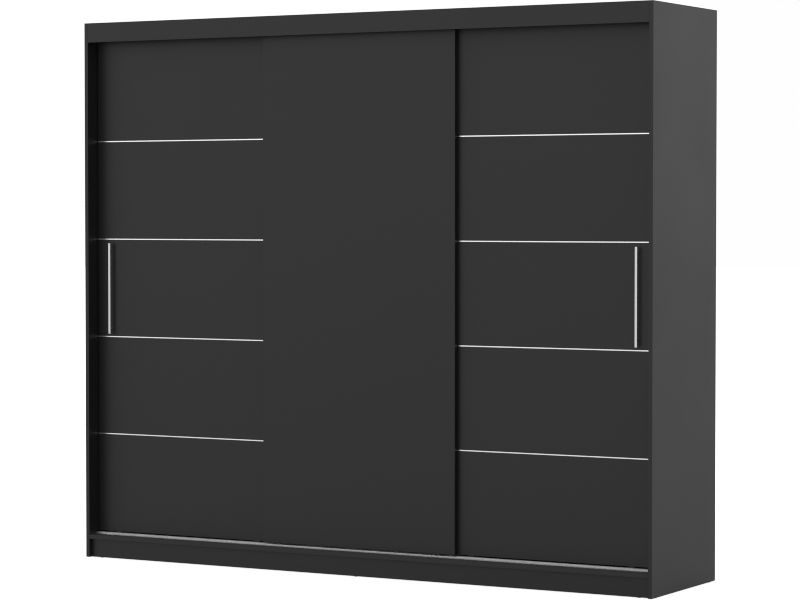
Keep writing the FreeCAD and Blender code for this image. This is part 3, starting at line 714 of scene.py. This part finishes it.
@dataclass
class Cabinet:
    """The boards, back panels, tracks and fixed fittings."""

    nodes: dict[str, bpy.types.Object]
    finishes: Finishes

    def build(self) -> None:
        """Dresses every node of the cabinet."""
        plan = {
            "bottom_panel": self.finishes.bottom_laminate_lit_copy,
            "back_panel_left": self.finishes.hardboard,
            "back_panel_middle": self.finishes.hardboard,
            "back_panel_right": self.finishes.hardboard,
            "top_track": self.finishes.track,
            "bottom_track": self.finishes.track,
            "left_hanging_rail": self.finishes.chrome,
            "right_hanging_rail": self.finishes.chrome,
            "rail_brackets": self.finishes.chrome,
            "cam_locks": self.finishes.zinc,
            "cam_dowels": self.finishes.steel,
            "fixing_screws": self.finishes.steel,
            "wall_brackets": self.finishes.steel,
            "shelf_pins": self.finishes.steel,
            "floor_glides": self.finishes.dark_plastic,
        }
        for name, node in self.nodes.items():
            if node["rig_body"] == "cabinet":
                dress(node, plan.get(name, self.finishes.laminate))
        dark = self.finishes.dark_plastic
        cams, screws = self.nodes["cam_locks"], self.nodes["fixing_screws"]
        # The crosses are painted shade: black plastic laid where the cross recesses of the cam
        # locks and screw heads would lie in shadow.
        lock_recess_shade = RecessShadeCrosses(
            "cam_lock_recess_shade", cams, Opening.BOARD_FACE, reach=4.2 * MM, arm=1.8 * MM, finish=dark
        )
        screw_recess_shade = RecessShadeCrosses(
            "screw_recess_shade", screws, Opening.WIDE_END, reach=1.7 * MM, arm=0.8 * MM, finish=dark
        )
        lock_recess_shade.build("cabinet", "zinc")
        Nails(self.finishes.steel).build("cabinet", "steel")
        screw_recess_shade.build("cabinet", "steel")


@dataclass
class Door:
    """One sliding door with its strips, handle and running gear."""

    name: str
    nodes: dict[str, bpy.types.Object]
    finishes: Finishes

    def build(self) -> None:
        """Dresses the panel and everything fixed to it."""
        plan = {
            "panel": self.finishes.laminate,
            "trim_strips": self.finishes.strip,
            "handle_bar": self.finishes.handle,
            "handle_posts": self.finishes.handle,
            "roller_housings": self.finishes.dark_plastic,
            "guide_blocks": self.finishes.dark_plastic,
            "roller_axles": self.finishes.steel,
            "wheel_1": self.finishes.dark_plastic,
            "wheel_2": self.finishes.dark_plastic,
        }
        for name, node in self.nodes.items():
            if name.startswith(self.name):
                part = name[len(self.name) + 1 :]
                dress(node, plan.get(part, self.finishes.pale_plastic))


# ---------------------------------------------------------------------------------------------
# Studio
# ---------------------------------------------------------------------------------------------
@dataclass
class Studio:
    """A white room, a pale floor and the camera. The room and the floor give all the light.

    The sheet under the wardrobe is bright paper that only the camera sees. What the boards and
    the metals reflect is the dimmer studio floor just below it.
    """

    low: Vector
    sky: float = 1.065
    lean: float = 0.125
    window: tuple[float, float, float] = (-0.5, -0.86, 0.1)
    paper: float = 0.70
    glow: float = 0.64
    ground: float = 0.45
    ground_glow: float = 0.27
    dimming: float = 0.50
    floor_radius: float = 60.0
    paper_drop: float = 0.2 * MM
    ground_drop: float = 0.4 * MM
    lens: float = 124.5
    sensor: float = 36.0
    sight: float = 200.0
    stand: tuple[float, float, float] = (5.345, -9.090, 1.396)
    tilt: float = 88.178
    turn: float = 29.470
    filter_width: float = 1.1

    def build(self) -> None:
        """Makes the surroundings, the floor and the camera."""
        self.make_sky()
        seen = self.make_floor("paper_floor", self.paper_drop, grey(self.paper), self.glow, 1.0)
        seen.visible_glossy = False
        seen.visible_diffuse = False
        felt = self.make_floor(
            "studio_floor", self.ground_drop, grey(self.ground), self.ground_glow, self.dimming
        )
        felt.visible_camera = False
        self.make_camera()
        view = bpy.context.scene.view_settings
        view.view_transform = "Standard"
        view.look = "None"
        bpy.context.scene.cycles.filter_width = self.filter_width

    def make_sky(self) -> None:
        """Surrounds the scene with soft white light, a little stronger from the front left."""
        world = bpy.data.worlds.new("white_room")
        bpy.context.scene.world = world
        world.use_nodes = True
        tree = world.node_tree
        background = tree.nodes["Background"]
        background.inputs["Color"].default_value = grey(1.0)
        direction = tree.nodes.new("ShaderNodeTexCoord").outputs["Generated"]
        facing = tree.nodes.new("ShaderNodeVectorMath")
        facing.operation = "DOT_PRODUCT"
        facing.inputs[1].default_value = self.window
        tree.links.new(direction, facing.inputs[0])
        level = tree.nodes.new("ShaderNodeMath")
        level.operation = "MULTIPLY_ADD"
        level.inputs[1].default_value = self.lean
        level.inputs[2].default_value = self.sky
        tree.links.new(facing.outputs["Value"], level.inputs[0])
        tree.links.new(level.outputs[0], background.inputs["Strength"])

    def make_floor(
        self, name: str, drop: float, colour: Colour, glow: float, dimming: float
    ) -> bpy.types.Object:
        """Lays a wide disc under the wardrobe.

        Args:
            name: The disc's name.
            drop: How far it lies under the glides.
            colour: Its colour.
            glow: Light of its own.
            dimming: The share of that light which is left away from the window.

        Returns:
            The disc.
        """
        mesh = bpy.data.meshes.new(name)
        shape = bmesh.new()
        bmesh.ops.create_circle(shape, cap_ends=True, segments=96, radius=self.floor_radius)
        shape.to_mesh(mesh)
        shape.free()
        floor = bpy.data.objects.new(name, mesh)
        bpy.context.scene.collection.objects.link(floor)
        floor.location = (0.0, 0.0, self.low.z - drop)
        nodes = NodeWriter(name + "_paper")
        speckle = nodes.noise(nodes.place(), 90.0, 3.0)
        point = nodes.add("ShaderNodeTexCoord", output="Object")
        across, back = (
            nodes.add("ShaderNodeSeparateXYZ", None, {"Vector": point}, axis) for axis in "XY"
        )
        # Painted window light: the glow is full towards the front left and falls to the dimming
        # share towards the back right; on the studio floor this paints a pool of light, on the
        # paper it stays even.
        near = (across * self.window[0] + back * self.window[1]).ramp(-1.0, 0.4)
        nodes.surface(
            Base_Color=nodes.blend(speckle, deeper(colour, 0.99), colour),
            Roughness=0.9,
            Specular_IOR_Level=0.1,
            Emission_Color=nodes.blend(near, grey(dimming), grey(1.0)),
            Emission_Strength=glow,
        )
        mesh.materials.append(nodes.material)
        floor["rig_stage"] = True
        return floor

    def make_camera(self) -> None:
        """Stands the camera right of the wardrobe, a little above its middle."""
        data = bpy.data.cameras.new("camera")
        data.lens = self.lens
        data.sensor_width = self.sensor
        data.clip_end = self.sight
        camera = bpy.data.objects.new("camera", data)
        bpy.context.scene.collection.objects.link(camera)
        right, front, up = self.stand
        camera.location = (right, self.low.y + front, up)
        tilt, turn = math.radians(self.tilt), math.radians(self.turn)
        camera.rotation_euler = Euler((tilt, 0.0, turn), "XYZ")
        bpy.context.scene.camera = camera


def main() -> None:
    """Builds the wardrobe's looks in order."""
    logging.basicConfig(level=logging.INFO, format="%(name)s: %(message)s")
    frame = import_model()
    cad_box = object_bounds()
    finishes = Finishes()
    Cabinet(frame["nodes"], finishes).build()
    for name in ("left_door", "middle_door", "right_door"):
        Door(name, frame["nodes"], finishes).build()
    Studio(Vector(cad_box[0])).build()


if __name__ == "__main__":
    main()
